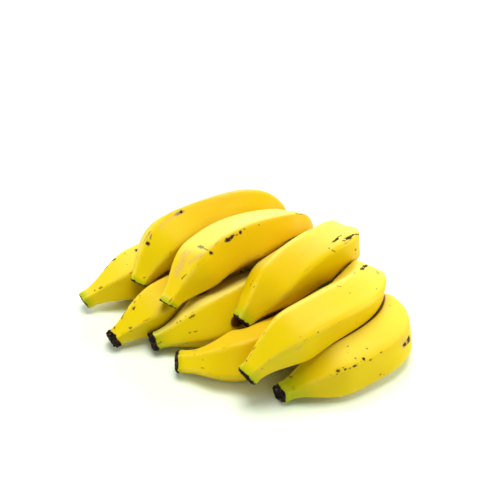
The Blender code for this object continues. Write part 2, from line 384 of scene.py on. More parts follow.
def clearance(points, line, reach):
    """How far each point is outside the round body of a finger."""
    squares = (points**2).sum(1)[:, None] + (line**2).sum(1)[None] - 2 * points @ line.T
    return (np.sqrt(np.maximum(squares, 0.0)) - reach[None]).min(axis=1)


def press(points, middle, own, others):
    """The share of its reach at which each skin point stops short of its neighbours."""

    def crowded(trial):
        nearest = np.min([clearance(trial, *other) for other in others], axis=0)
        return clearance(trial, *own) > nearest - GAP

    share = np.ones(len(points))
    tight = np.flatnonzero(crowded(points))
    if len(tight):
        inner, outer = np.zeros(len(tight)), np.ones(len(tight))
        for _ in range(PRESS_STEPS):
            trial = (inner + outer) / 2
            hit = crowded(middle[tight] + (points[tight] - middle[tight]) * trial[:, None])
            outer = np.where(hit, trial, outer)
            inner = np.where(hit, inner, trial)
        share[tight] = inner
    return share


def soften(grid, passes):
    """Evens a grid out with its neighbours, closed round the finger and open along it."""
    for _ in range(passes):
        grid = (np.roll(grid, 1, axis=1) + 2 * grid + np.roll(grid, -1, axis=1)) / 4
        padded = np.concatenate([grid[:1], grid, grid[-1:]])
        grid = (padded[:-2] + 2 * grid + padded[2:]) / 4
    return grid


# -------------------- the fine skin

Skin = namedtuple("Skin", "points along turn reach length nearest")

CAP_SHARES = (0.12, 0.26, 0.40, 0.53, 0.66, 0.78, 0.90)
CAP_HOLLOW = 0.7
RIM_PLACES = (0.0, 0.8, 2.0, 3.6, 5.6, 8.5)
STALK_END_SHARE = 0.86
LEAN_FADE = 12.0
WOBBLE = 0.009
WOBBLE_WAVES = (95.0, 52.0, 31.0)
WOBBLE_TURNS = (1, 2, 3, 5)


def skin_rows(length, taper):
    """Each row's length along the middle line, its share of the girth, and its length along the skin from the rim."""
    rows = []
    for share in CAP_SHARES:
        rows.append((CAP_HOLLOW * (1 - share**3), share * (1 - taper), share - 1))
    count = ceil((length + STALK_IN_COLLAR) / SKIN_STEP)
    for i in range(count + 1):
        s = (length + STALK_IN_COLLAR) * i / count
        share = np.interp(s, RIM_PLACES, (1 - taper, 1 - taper * 0.4, 1.0, 1.03, 0.99, 1.0))
        share *= np.interp(s, (length - 1.0, length + STALK_IN_COLLAR), (1.0, STALK_END_SHARE))
        rows.append((s, share, s))
    return np.array(rows)


def body_wobble(turn, along, seed):
    """A slight unevenness of the body, as a share of its girth."""
    draw = np.random.default_rng(seed)
    total = np.zeros((len(along), len(turn)))
    for turns in WOBBLE_TURNS:
        for wave in WOBBLE_WAVES:
            angle = draw.uniform(0, 2 * pi, 2)
            amount = WOBBLE * (wave / WOBBLE_WAVES[0]) ** 0.6 / turns**0.6
            round_way = np.cos(turns * turn + angle[0])[None]
            total += amount * round_way * np.cos(2 * pi * along / wave + angle[1])[:, None]
    return total


def fine_skin(finger, own, others, seed):
    """The finger's skin points in rows from inside its flower end to inside its collar."""
    line, marks = middle_line(finger)
    length = marks[-1]
    _, out = root_of(finger)
    line = np.concatenate([line, [line[-1] - out * (STALK_IN_COLLAR + 1.0)]])
    marks = np.concatenate([marks, [length + STALK_IN_COLLAR + 1.0]])
    finish = FINISHES[finger.name]
    rows = skin_rows(length, finish.taper)
    s, share, along = rows[:, 0], rows[:, 1], rows[:, 2].copy()
    along[: len(CAP_SHARES)] *= finger.tip_radius

    def point_at(where):
        return np.stack([np.interp(where, marks, line[:, k]) for k in range(3)], axis=1)

    middle = point_at(s)
    forward = point_at(s + 2.0) - point_at(np.maximum(s - 2.0, 0.0))
    forward = soften(forward[:, None], 6)[:, 0]
    forward /= np.linalg.norm(forward, axis=1)[:, None]
    right = np.cross(forward, [0.0, 0.0, 1.0])
    right /= np.linalg.norm(right, axis=1)[:, None]
    top = np.cross(right, forward)

    turn = np.arange(SKIN_SIDES) * 2 * pi / SKIN_SIDES
    first_ridge = np.radians(finger.ridge + finger.twist * (s / length - 0.5))
    angle = turn[None] + first_ridge[:, None]
    reach = (girth_at(finger, s, length) * share)[:, None] * section(turn)[None]
    reach = reach * (1 + body_wobble(turn, along, seed))
    outward = right[:, None] * np.sin(angle)[..., None] + top[:, None] * np.cos(angle)[..., None]
    up, aside = (tan(radians(degrees)) for degrees in finish.lean)
    setback = (up * np.cos(angle) + aside * np.sin(angle)) * reach * np.clip(1 - s / LEAN_FADE, 0, 1)[:, None]
    middle = middle[:, None] + forward[:, None] * setback[..., None]
    points = middle + outward * reach[..., None]

    flat = points.reshape(-1, 3)
    kept = press(flat, middle.reshape(-1, 3), own, others).reshape(reach.shape)
    kept = np.minimum(kept, soften(kept, 10))
    points = middle + outward * (reach * kept)[..., None]
    height = points[..., 2]
    points[..., 2] = (height + np.sqrt(height**2 + 0.25)) / 2
    flat = points.reshape(-1, 3)
    nearest = np.min([clearance(flat, *other) for other in others], axis=0).reshape(reach.shape)
    return Skin(points, along, turn, reach, length, nearest)


def grid_normals(points):
    """Outward directions at each point of a finger's grid."""
    round_way = np.roll(points, -1, axis=1) - np.roll(points, 1, axis=1)
    long_way = np.gradient(points, axis=0)
    normal = np.cross(long_way, round_way)
    normal /= np.maximum(np.linalg.norm(normal, axis=2), 1e-9)[..., None]
    outward = points - points.mean(axis=1, keepdims=True)
    return normal * np.sign((normal * outward).sum(axis=(1, 2)))[:, None, None]


def skin_under(skin, normals, pixel):
    """The row and side of the skin that faces the camera at a point of the picture."""
    apart = np.linalg.norm(in_frame(skin.points) - np.array(pixel, float), axis=2)
    facing = (normals * (camera_place() - skin.points)).sum(axis=2) / DISTANCE
    apart = apart + np.where(facing > LEAST_FACING, 0.0, 1e3)
    return np.unravel_index(np.argmin(apart), apart.shape)


def wrapped(angle):
    """An angle between -pi and pi."""
    return (angle + pi) % (2 * pi) - pi


def mark_fields(finger, skin, normals):
    """For each kind of mark, 1 along its middle, a half at its edge and 0 beyond."""
    fields = {kind: np.zeros(skin.reach.shape) for kind in MARK_KINDS}
    for kind, marks in MARKS[finger.name].items():
        for x, y, *end, width in marks:
            row, side = skin_under(skin, normals, (x, y))
            last_row, last_side = skin_under(skin, normals, end or (x, y))
            round_run = wrapped(skin.turn[last_side] - skin.turn[side]) * skin.reach[row, side]
            run = np.array([skin.along[last_row] - skin.along[row], round_run])
            round_way = wrapped(skin.turn - skin.turn[side])[None] * skin.reach
            long_way = (skin.along - skin.along[row])[:, None]
            place = np.stack(np.broadcast_arrays(long_way, round_way), axis=-1)
            share = np.clip((place @ run) / max(run @ run, 1e-6), 0.0, 1.0)
            apart = np.linalg.norm(place - share[..., None] * run, axis=2)
            field = np.clip(1 - apart / max(MARK_SPREAD * width, 1.0), 0.0, 1.0)
            fields[kind] = np.maximum(fields[kind], field * min(0.5 + 0.5 * width, 1.0))
    return fields


def with_ends(grid):
    """A grid's values in a row, followed by the means of its first and last rows."""
    flat = grid.reshape(-1, *grid.shape[2:])
    return np.concatenate([flat, [grid[0].mean(axis=0)], [grid[-1].mean(axis=0)]])


def mesh_of(name, points):
    """A mesh through a grid of points that is closed round it, with both ends closed."""
    rows, sides = points.shape[:2]
    index = np.arange(rows * sides).reshape(rows, sides)
    near, far = index[:-1], index[1:]
    quads = np.stack([near, np.roll(near, -1, axis=1), np.roll(far, -1, axis=1), far], axis=-1).reshape(-1, 4)
    faces = quads.tolist()
    vertices = with_ends(points)
    for ring, centre, order in ((index[0], rows * sides, -1), (index[-1], rows * sides + 1, 1)):
        after = np.roll(ring, -1)
        faces += [[centre, int(a), int(b)][::order] for a, b in zip(ring, after)]
    mesh = bpy.data.meshes.new(name)
    mesh.from_pydata(((vertices - ORIGIN) * MM).tolist(), [], faces)
    mesh.update()
    return mesh


def place_object(name, data):
    """A new object of the scene."""
    obj = bpy.data.objects.new(name, data)
    bpy.context.scene.collection.objects.link(obj)
    return obj


def finished_mesh(obj):
    """The object's mesh as its modifiers leave it."""
    graph = bpy.context.evaluated_depsgraph_get()
    return bpy.data.meshes.new_from_object(obj.evaluated_get(graph))


def places_of(mesh):
    """The place of each vertex."""
    place = np.empty(len(mesh.vertices) * 3, np.float32)
    mesh.vertices.foreach_get("co", place)
    return place.reshape(-1, 3)


def store(mesh, name, values, kind="FLOAT"):
    """Stores a value, or a vector, for each vertex under a name."""
    data = mesh.attributes.new(name, kind, "POINT").data
    data.foreach_set("value" if kind == "FLOAT" else "vector", np.asarray(values, np.float32).ravel())


# Each finger's grain starts SEED_SPACING further on. The valleys between fingers are painted deeper in colour,
# and the lines where fingers press are painted brown, both as painted shade; the faces that look towards the lamps
# are painted paler, as painted light.
SEED_SPACING = 400.0
RIDGE_WIDTH = 2.4
GREEN_SPREAD = 1.6
GOLD_LENGTH = 70.0
DARK_FADE = 5.0
STALK_SHARE = 0.75
VALLEY_REACH = 11.0
CREASE_REACH = 2.0
# The direction of the painted light: faces that look this way are painted paler.
PAINTED_LIGHT_DIRECTION = np.array([-0.33, 0.26, 0.91])


def dress_skin(finger, skin, seed):
    """The finger's mesh, with what its peel needs to know stored on its vertices."""
    finish = FINISHES[finger.name]
    mesh = mesh_of(finger.name, skin.points)
    along = np.broadcast_to(skin.along[:, None], skin.reach.shape)
    aside, upward = skin.reach * np.cos(skin.turn)[None], skin.reach * np.sin(skin.turn)[None]
    place = np.stack([aside, upward, along + SEED_SPACING * seed], axis=-1)
    store(mesh, "peel_place", with_ends(place), "FLOAT_VECTOR")
    from_ridge = np.abs((skin.turn * RIDGES / (2 * pi) + 0.5) % 1 - 0.5) * 2 * pi / RIDGES
    stalk = finger.shoulder * STALK_SHARE
    normals = grid_normals(skin.points)
    # painted shade: deeper ochre the nearer the skin comes to a neighbouring finger
    valley_shade = np.clip(1 - skin.nearest / VALLEY_REACH, 0, 1) ** 1.5
    fields = {
        "ridge": np.exp(-((from_ridge[None] * skin.reach / RIDGE_WIDTH) ** 2)),
        "green": np.clip(1 - along / (finish.green * GREEN_SPREAD), 0, 1) ** 1.2,
        "stalk": ease((along - (skin.length - STALK_LENGTH - stalk)) / stalk),
        "dark": np.clip(0.5 + (finish.dark - along) / DARK_FADE, 0, 1),
        "gold": finish.gold * ease(along / GOLD_LENGTH),
        "valley_shade": soften(valley_shade, 2),
        # painted shade: brown where fingers press on each other, on faces that look up
        "crease_shade": np.clip(1 - skin.nearest / CREASE_REACH, 0, 1) * ease(normals[..., 2] / 0.3),
        # painted light: faces that look up towards the lamps are painted paler
        "painted_light": finish.pale * ease((normals @ PAINTED_LIGHT_DIRECTION - 0.55) / 0.35),
    }
    fields.update(mark_fields(finger, skin, normals))
    for kind, field in fields.items():
        store(mesh, kind, with_ends(field))
    return mesh


# -------------------- node trees


def put(tree, kind, inputs=(), **settings):
    """Adds a node, sets it up, and fills or joins its inputs, given by name or place."""
    node = tree.nodes.new(kind)
    for key, value in settings.items():
        setattr(node, key, value)
    for key, value in dict(inputs).items():
        if isinstance(value, bpy.types.NodeSocket):
            tree.links.new(value, node.inputs[key])
        else:
            node.inputs[key].default_value = value
    return node


def calc(tree, operation, *terms):
    """A sum, product or other operation on numbers and sockets."""
    return put(tree, "ShaderNodeMath", enumerate(terms), operation=operation).outputs[0]


def times(tree, one, other):
    """The product of two numbers or sockets."""
    return calc(tree, "MULTIPLY", one, other)


def rise(tree, value, low, high):
    """0 where the value is under low, 1 over high, and a smooth rise between them."""
    inputs = {"Value": value, "From Min": low, "From Max": high}
    return put(tree, "ShaderNodeMapRange", inputs, interpolation_type="SMOOTHSTEP").outputs[0]


def cover(tree, share, under, over):
    """The under colour, covered by the over colour by a share."""
    return put(tree, "ShaderNodeMix", {0: share, 6: under, 7: over}, data_type="RGBA").outputs[2]


def stain(tree, colour, share, strength, over):
    """A colour, covered by another by a share of its strength."""
    return cover(tree, times(tree, share, strength), colour, over)


def grain(tree, place, stretch, detail=3.0, roughness=0.5):
    """Noise over a place in millimetres, stretched by the number of grains to a millimetre each way."""
    scaled = put(tree, "ShaderNodeVectorMath", {0: place, 1: stretch}, operation="MULTIPLY").outputs[0]
    inputs = {"Vector": scaled, "Scale": 1.0, "Detail": detail, "Roughness": roughness}
    return put(tree, "ShaderNodeTexNoise", inputs).outputs[0]


def swing(tree, noise, amount):
    """How far a noise is from its middle, times an amount."""
    return times(tree, calc(tree, "SUBTRACT", noise, 0.5), amount)


def shade(red, green, blue):
    """A colour given from 0 to 255, as the shader takes it."""
    shares = [c / 255 for c in (red, green, blue)]
    return (*[c / 12.92 if c < 0.04045 else ((c + 0.055) / 1.055) ** 2.4 for c in shares], 1.0)


LEMON = shade(219, 192, 0)
GOLD = shade(211, 164, 0)
GREEN = shade(152, 168, 0)
STALK_GREEN = shade(150, 160, 38)
# painted light: the paler yellow painted on faces that look up towards the lamps
PAINTED_LIGHT_CREAM = shade(234, 224, 112)
# painted shade in the valleys between fingers
VALLEY_SHADE_OCHRE = shade(190, 128, 0)
# painted shade in the gaps where fingers press on each other
CREASE_SHADE_BROWN = shade(84, 30, 4)
RIDGE_CREAM = shade(228, 208, 96)
RUBBED = shade(158, 118, 36)
SPECK_BROWN = shade(76, 48, 8)
SCUFF_PINK = shade(196, 154, 104)
SCRAPE_BLACK = shade(22, 12, 6)
SCRAPE_GREY = shade(116, 98, 74)
DRIED_BLACK = shade(18, 11, 10)
DRIED_BROWN = shade(90, 60, 48)
DRIED_GREY = shade(128, 112, 104)
CUT_TAN = shade(196, 172, 104)
CUT_BROWN = shade(104, 74, 40)
CROWN_GREEN = shade(150, 156, 52)
TABLE_COLOUR = (0.82, 0.92, 0.76, 1.0)
TABLE_ROUGHNESS = 0.6


def new_material(name):
    look = bpy.data.materials.new(name)
    look.use_nodes = True
    look.node_tree.nodes.clear()
    return look, look.node_tree


def finish_surface(tree, colour, roughness, bump_height, fixed=()):
    """A Principled surface with a bump and some fixed inputs, joined to the material's output."""
    bump = put(tree, "ShaderNodeBump", {"Height": bump_height, "Strength": 1.0, "Distance": MM}).outputs[0]
    inputs = {"Base Color": colour, "Roughness": roughness, "Normal": bump, **dict(fixed)}
    surface = put(tree, "ShaderNodeBsdfPrincipled", inputs)
    put(tree, "ShaderNodeOutputMaterial", {"Surface": surface.outputs[0]})


def read(tree, name, output="Fac"):
    """A value that was stored on the mesh."""
    return put(tree, "ShaderNodeAttribute", attribute_name=name).outputs[output]


def peel_material():
    """Waxy banana skin: lemon to gold, green necks, creamy ridges that are partly worn and partly painted highlight,
    faces painted paler as painted light, painted shade in the valleys and where fingers press, rubs, specks, scrapes
    and a dried end.
    """
    look, tree = new_material("banana_peel")
    place = read(tree, "peel_place", "Vector")
    ridge, green, stalk = read(tree, "ridge"), read(tree, "green"), read(tree, "stalk")

    clouds = grain(tree, place, (0.035, 0.035, 0.018), 2.0)
    depth = calc(tree, "MULTIPLY_ADD", rise(tree, clouds, 0.36, 0.66), 0.3, read(tree, "gold"))
    colour = cover(tree, rise(tree, depth, 0.0, 1.2), LEMON, GOLD)

    # painted light: the faces that look up towards the lamps are painted paler
    colour = stain(tree, colour, read(tree, "painted_light"), 0.8, PAINTED_LIGHT_CREAM)
    # painted shade: ochre in the valleys between fingers
    colour = stain(tree, colour, read(tree, "valley_shade"), 0.16, VALLEY_SHADE_OCHRE)
    fibres = grain(tree, place, (0.55, 0.55, 0.03), 4.0, 0.6)
    colour = stain(tree, colour, rise(tree, fibres, 0.55, 0.75), 0.03, RIDGE_CREAM)
    colour = stain(tree, colour, rise(tree, fibres, 0.44, 0.28), 0.03, RUBBED)

    patches = grain(tree, place, (0.10, 0.10, 0.05), 3.0)
    greener = calc(tree, "ADD", green, swing(tree, patches, 0.5))
    colour = stain(tree, colour, rise(tree, greener, 0.15, 0.85), 0.8, GREEN)
    colour = stain(tree, colour, rise(tree, stalk, 0.15, 1.0), 0.85, STALK_GREEN)

    # Paler cream ridges: partly worn ridges, partly a painted highlight that grows on the faces painted with light.
    worn = grain(tree, place, (0.16, 0.16, 0.05), 3.0)
    pale = times(tree, rise(tree, ridge, 0.35, 1.0), rise(tree, worn, 0.38, 0.62))
    pale = times(tree, pale, calc(tree, "MULTIPLY_ADD", read(tree, "painted_light"), 0.45, 0.18))
    colour = cover(tree, pale, colour, RIDGE_CREAM)
    dashes = grain(tree, place, (0.42, 0.42, 0.13), 4.0, 0.65)
    rub = times(tree, rise(tree, ridge, 0.5, 1.0), rise(tree, dashes, 0.585, 0.66))
    colour = stain(tree, colour, rub, 0.7, RUBBED)
    nick = times(tree, rise(tree, ridge, 0.6, 0.95), rise(tree, dashes, 0.67, 0.71))
    colour = stain(tree, colour, nick, 0.85, SPECK_BROWN)

    cells = put(tree, "ShaderNodeTexVoronoi", {"Vector": place, "Scale": 0.11, "Randomness": 1.0})
    size = put(tree, "ShaderNodeSeparateColor", {0: cells.outputs["Color"]}).outputs[0]
    speck = calc(tree, "LESS_THAN", cells.outputs["Distance"], calc(tree, "MULTIPLY_ADD", size, 0.2, -0.13))
    colour = stain(tree, colour, speck, 0.6, SPECK_BROWN)

    ragged = grain(tree, place, (0.9, 0.9, 0.7), 4.0, 0.75)
    fray = swing(tree, ragged, 2.2)

    def frayed(kind):
        field = read(tree, kind)
        return calc(tree, "MULTIPLY_ADD", fray, rise(tree, field, 0.0, 0.2), field)

    streaks = grain(tree, place, (1.1, 1.1, 0.16), 4.0, 0.7)
    scuffed = times(tree, rise(tree, frayed("scuff"), 0.10, 0.7), rise(tree, streaks, 0.34, 0.62))
    colour = stain(tree, colour, scuffed, 0.65, SCUFF_PINK)
    halo = rise(tree, frayed("black"), 0.10, 0.45)
    colour = stain(tree, colour, halo, 0.45, RUBBED)
    brown = rise(tree, frayed("brown"), 0.42, 0.72)
    colour = stain(tree, colour, brown, 0.85, SPECK_BROWN)
    grey = rise(tree, frayed("grey"), 0.34, 0.66)
    colour = stain(tree, colour, grey, 0.8, SCRAPE_GREY)
    black = rise(tree, frayed("black"), 0.42, 0.60)
    colour = stain(tree, colour, black, 0.96, SCRAPE_BLACK)

    torn = grain(tree, place, (0.30, 0.30, 0.22), 4.0, 0.6)
    dried = calc(tree, "ADD", read(tree, "dark"), swing(tree, torn, 0.9))
    browned = rise(tree, dried, 0.42, 0.52)
    colour = stain(tree, colour, browned, 0.75, DRIED_BROWN)
    blackened = rise(tree, dried, 0.48, 0.56)
    shreds = grain(tree, place, (0.55, 0.55, 0.4), 5.0, 0.75)
    blacks = cover(tree, rise(tree, shreds, 0.50, 0.64), DRIED_BLACK, DRIED_BROWN)
    blacks = stain(tree, blacks, rise(tree, ragged, 0.57, 0.66), 0.75, DRIED_GREY)
    colour = cover(tree, blackened, colour, blacks)

    # painted shade: dark brown where fingers press on each other
    colour = stain(tree, colour, rise(tree, read(tree, "crease_shade"), 0.2, 0.7), 0.92, CREASE_SHADE_BROWN)
    scarred = calc(tree, "MAXIMUM", black, blackened)
    gloss = calc(tree, "MULTIPLY_ADD", patches, 0.16, 0.38)
    gloss = calc(tree, "MULTIPLY_ADD", scarred, 0.28, gloss)
    height = times(tree, fibres, 0.03)
    height = calc(tree, "MULTIPLY_ADD", grain(tree, place, (1.1, 1.1, 0.8), 3.0), 0.05, height)
    height = calc(tree, "MULTIPLY_ADD", black, -0.12, height)
    height = calc(tree, "MULTIPLY_ADD", times(tree, blackened, shreds), 2.4, height)
    fixed = {
        "Subsurface Weight": 0.05,
        "Subsurface Radius": (1.0, 0.7, 0.15),
        "Subsurface Scale": 2.5 * MM,
        "Specular IOR Level": 0.10,
    }
    finish_surface(tree, colour, gloss, height, fixed)
    return look


def crown_material():
    """Green-brown crown skin, and a knife cut that has dried tan with brown threads and a dark rim."""
    look, tree = new_material("crown_skin")
    place = read(tree, "peel_place", "Vector")
    cut, rim = read(tree, "cut"), read(tree, "rim")
    clouds = grain(tree, place, (0.06, 0.06, 0.09), 3.0)
    threads = grain(tree, place, (0.5, 0.16, 0.5), 4.0, 0.6)
    colour = cover(tree, rise(tree, clouds, 0.35, 0.7), CROWN_GREEN, STALK_GREEN)
    colour = stain(tree, colour, rise(tree, threads, 0.55, 0.75), 0.5, RUBBED)
    colour = stain(tree, colour, rise(tree, threads, 0.40, 0.25), 0.4, CUT_BROWN)

    pores = put(tree, "ShaderNodeTexVoronoi", {"Vector": place, "Scale": 0.55, "Randomness": 1.0}).outputs["Distance"]
    flesh = cover(tree, rise(tree, grain(tree, place, (0.12, 0.12, 0.12), 4.0), 0.35, 0.7), CUT_TAN, CUT_BROWN)
    flesh = stain(tree, flesh, rise(tree, pores, 0.30, 0.12), 0.8, SPECK_BROWN)
    colour = cover(tree, rise(tree, cut, 0.35, 0.65), colour, flesh)
    edge = calc(tree, "ADD", rim, swing(tree, threads, 0.6))
    colour = stain(tree, colour, rise(tree, edge, 0.45, 0.8), 0.8, DRIED_BROWN)
    height = times(tree, threads, 0.5)
    height = calc(tree, "MULTIPLY_ADD", times(tree, cut, pores), 0.5, height)
    gloss = calc(tree, "MULTIPLY_ADD", clouds, 0.2, 0.48)
    finish_surface(tree, colour, gloss, height, {"Subsurface Weight": 0.06, "Subsurface Scale": 2.0 * MM})
    return look


def table_material():
    """The plain surface that the hand lies on, with a trace of unevenness."""
    look, tree = new_material("pale_table")
    place = put(tree, "ShaderNodeTexCoord").outputs["Object"]
    cloud = put(tree, "ShaderNodeTexNoise", {"Vector": place, "Scale": 6.0, "Detail": 2.0}).outputs[0]
    paler = (*[c * 1.02 for c in TABLE_COLOUR[:3]], 1.0)
    colour = cover(tree, cloud, TABLE_COLOUR, paler)
    finish_surface(tree, colour, TABLE_ROUGHNESS, times(tree, cloud, 0.01))
    return look


# -------------------- what grows on a surface


def geometry_tree(name, inputs):
    """A Geometry Nodes tree with one geometry in and out, and named number inputs."""
    tree = bpy.data.node_groups.new(name, "GeometryNodeTree")
    tree.interface.new_socket("Geometry", in_out="INPUT", socket_type="NodeSocketGeometry")
    for label, kind, value in inputs:
        tree.interface.new_socket(label, in_out="INPUT", socket_type=kind).default_value = value
    tree.interface.new_socket("Geometry", in_out="OUTPUT", socket_type="NodeSocketGeometry")
    return tree, put(tree, "NodeGroupInput")


def end_tree(tree, skin, growth, look):
    """Joins a skin and what grows on it, and ends the tree in Realize Instances and Set Material."""
    joined = put(tree, "GeometryNodeJoinGeometry")
    for part in (growth, skin):
        tree.links.new(part, joined.inputs[0])
    real = put(tree, "GeometryNodeRealizeInstances", {"Geometry": joined.outputs[0]}).outputs[0]
    done = put(tree, "GeometryNodeSetMaterial", {"Geometry": real})
    done.inputs["Material"].default_value = look
    smooth = put(tree, "GeometryNodeSetShadeSmooth", {"Geometry": done.outputs[0]}).outputs[0]
    put(tree, "NodeGroupOutput", {0: smooth})


def named(tree, name, kind="FLOAT"):
    return put(tree, "GeometryNodeInputNamedAttribute", {"Name": name}, data_type=kind).outputs[0]


def raised(tree, geometry, height):
    """Moves a surface out along its own facing by a height in millimetres."""
    scale = times(tree, height, MM)
    facing = put(tree, "GeometryNodeInputNormal").outputs[0]
    offset = put(tree, "ShaderNodeVectorMath", {0: facing, "Scale": scale}, operation="SCALE").outputs[0]
    return put(tree, "GeometryNodeSetPosition", {"Geometry": geometry, "Offset": offset}).outputs[0]


def scattered(tree, surface, where, density, seed, piece, size_low, size_high, tilt):
    """Copies of a piece standing on a surface, turned and sized by a fixed seed."""
    points = put(
        tree, "GeometryNodeDistributePointsOnFaces",
        {"Mesh": surface, "Selection": where, "Density": density, "Seed": seed},
    )
    size = put(
        tree, "FunctionNodeRandomValue", {2: size_low, 3: size_high, "Seed": seed}, data_type="FLOAT"
    ).outputs[1]
    lean = put(
        tree, "FunctionNodeRandomValue", {0: (-tilt, -tilt, -pi), 1: (tilt, tilt, pi), "Seed": seed},
        data_type="FLOAT_VECTOR",
    ).outputs[0]
    turned = put(
        tree, "FunctionNodeRotateRotation", {0: points.outputs["Rotation"], 1: lean}, rotation_space="LOCAL"
    ).outputs[0]
    return put(
        tree, "GeometryNodeInstanceOnPoints",
        {"Points": points.outputs["Points"], "Instance": piece, "Rotation": turned, "Scale": size},
    ).outputs[0]


def flower_end_tree(look):
    """Fine relief of the peel, the crumpled flower end, and the dried scales that stand on it."""
    tree, given = geometry_tree(
        "peel_relief",
        (
            ("Peel height", "NodeSocketFloat", 0.16),
            ("Crumple height", "NodeSocketFloat", 0.6),
            ("Scale density", "NodeSocketFloat", 6.0),
            ("Scale size", "NodeSocketFloat", 1.0),
            ("Seed", "NodeSocketInt", 1),
        ),
    )
    place = named(tree, "peel_place", "FLOAT_VECTOR")
    swell = calc(tree, "SUBTRACT", grain(tree, place, (0.07, 0.07, 0.035), 3.0), 0.5)
    relief = times(tree, swell, times(tree, given.outputs["Peel height"], 4.0))
    sunk = times(tree, named(tree, "black"), -0.12)
    folds = calc(tree, "SUBTRACT", grain(tree, place, (0.50, 0.50, 0.36), 4.0, 0.6), 0.5)
    dried = rise(tree, named(tree, "dark"), 0.30, 0.62)
    crumple = times(tree, times(tree, folds, dried), given.outputs["Crumple height"])
    height = calc(tree, "ADD", calc(tree, "ADD", relief, sunk), times(tree, crumple, 2.6))
    skin = raised(tree, given.outputs["Geometry"], height)

    flake = put(tree, "GeometryNodeMeshIcoSphere", {"Radius": 0.9 * MM, "Subdivisions": 2}).outputs[0]
    spot = put(tree, "GeometryNodeInputPosition").outputs[0]
    in_mm = put(tree, "ShaderNodeVectorMath", {0: spot, "Scale": 1 / MM}, operation="SCALE").outputs[0]
    flake = raised(tree, flake, times(tree, grain(tree, in_mm, (0.9, 0.9, 0.9), 2.0), 0.7))
    flake = put(tree, "GeometryNodeTransform", {"Geometry": flake, "Scale": (1.25, 0.8, 0.55)}).outputs[0]
    flake = put(
        tree, "GeometryNodeStoreNamedAttribute",
        {"Geometry": flake, "Name": "dark", "Value": 1.0}, data_type="FLOAT", domain="POINT",
    ).outputs[0]
    blackest = calc(tree, "GREATER_THAN", named(tree, "dark"), 0.62)
    density = times(tree, given.outputs["Scale density"], PER_SQUARE_CM)
    flakes = scattered(
        tree, skin, blackest, density, given.outputs["Seed"], flake,
        times(tree, given.outputs["Scale size"], 0.5), given.outputs["Scale size"], 0.7,
    )
    end_tree(tree, skin, flakes, look)
    return tree


def cut_fibre_tree(look):
    """Roughens the crown's skin and stands short torn fibres on its knife cut."""
    tree, given = geometry_tree(
        "cut_fibres",
        (
            ("Skin height", "NodeSocketFloat", 0.5),
            ("Fibre density", "NodeSocketFloat", 30.0),
            ("Fibre length", "NodeSocketFloat", 1.4),
            ("Seed", "NodeSocketInt", 5),
        ),
    )
    place = named(tree, "peel_place", "FLOAT_VECTOR")
    swell = calc(tree, "SUBTRACT", grain(tree, place, (0.22, 0.08, 0.22), 4.0), 0.5)
    skin = raised(
        tree, given.outputs["Geometry"], times(tree, swell, times(tree, given.outputs["Skin height"], 3.0))
    )
    length = times(tree, given.outputs["Fibre length"], MM)
    fibre = put(
        tree, "GeometryNodeMeshCone",
        {"Vertices": 5, "Radius Top": 0.06 * MM, "Radius Bottom": 0.22 * MM, "Depth": length},
    ).outputs["Mesh"]
    onward = calc(tree, "GREATER_THAN", named(tree, "cut"), 0.8)
    fibres = scattered(
        tree, skin, onward, times(tree, given.outputs["Fibre density"], PER_SQUARE_CM),
        given.outputs["Seed"], fibre, 0.5, 1.2, 0.8,
    )
    end_tree(tree, skin, fibres, look)
    return tree


def grown(name, mesh, tree, settings):
    """An object whose mesh has been through a Geometry Nodes tree, with the modifier removed."""
    obj = place_object(name, mesh)
    modifier = obj.modifiers.new(tree.name, "NODES")
    modifier.node_group = tree
    for item in tree.interface.items_tree:
        if item.item_type == "SOCKET" and item.in_out == "INPUT" and item.name in settings:
            modifier[item.identifier] = settings[item.name]
    done = finished_mesh(obj)
    obj.modifiers.clear()
    obj.data = done
    done.name = name
    return obj


def lift_clear(mesh):
    """Keeps a finished mesh from reaching under the surface that it lies on."""
    place = places_of(mesh)
    place[:, 2] = np.maximum(place[:, 2], 0.0)
    mesh.vertices.foreach_set("co", place.ravel())
    mesh.update()


def make_fingers(look):
    """Every finger's peel, pressed against its neighbours, in place of its CAD solid."""
    tree = flower_end_tree(look)
    bodies = []
    for finger in FINGERS:
        line, along = middle_line(finger)
        bodies.append((line, girth_at(finger, along, along[-1]) * RIDGE_REACH))
    for i, finger in enumerate(FINGERS):
        others = [body for k, body in enumerate(bodies) if k != i]
        skin = fine_skin(finger, bodies[i], others, i + 1)
        finish = FINISHES[finger.name]
        settings = {
            "Crumple height": finish.crumple,
            "Scale density": float(finish.lumps),
            "Scale size": 0.5 + 0.5 * finish.crumple,
            "Seed": i + 1,
        }
        obj = grown(finger.name + "_peel", dress_skin(finger, skin, i + 1), tree, settings)
        lift_clear(obj.data)
        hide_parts(finger.name)
        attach(obj, "root")


# -------------------- the crown


def bulge(share, power):
    """A rounded fall from 1 in the middle to 0 at share 1."""
    return (1 - min(abs(share), 1.0) ** power) ** (1 / power)


def cushion_points(steps=60, sides=80):
    """The crown's bar: a rounded section carried across the hand and drawn in at both ends."""
    rings = []
    for i in range(steps + 1):
        share = -1 + 2 * i / steps
        fullness = bulge(share, CUSHION_PLAN_POWER)
        fullness = CUSHION_END_FULLNESS + (1 - CUSHION_END_FULLNESS) * fullness
        middle = crown_front(CROWN_END * share) + [0.0, CROWN_DEPTH / 2, CROWN_HEIGHT / 2]
        ring = []
        for j in range(sides):
            angle = 2 * pi * j / sides
            c, s = cos(angle), sin(angle)
            across = np.copysign(abs(c) ** CUSHION_DEPTH_POWER, c) * fullness * CROWN_DEPTH / 2
            across = min(across, CROWN_DEPTH / 2 - CROWN_CUT)
            up = np.copysign(abs(s) ** CUSHION_HEIGHT_POWER, s) * fullness * CROWN_HEIGHT / 2
            ring.append(middle + [0.0, across, up])
        ring = np.array(ring)
        ring[:, 2] = np.maximum(ring[:, 2] - CROWN_SINK, 0.0)
        rings.append(ring)
    return np.array(rings)


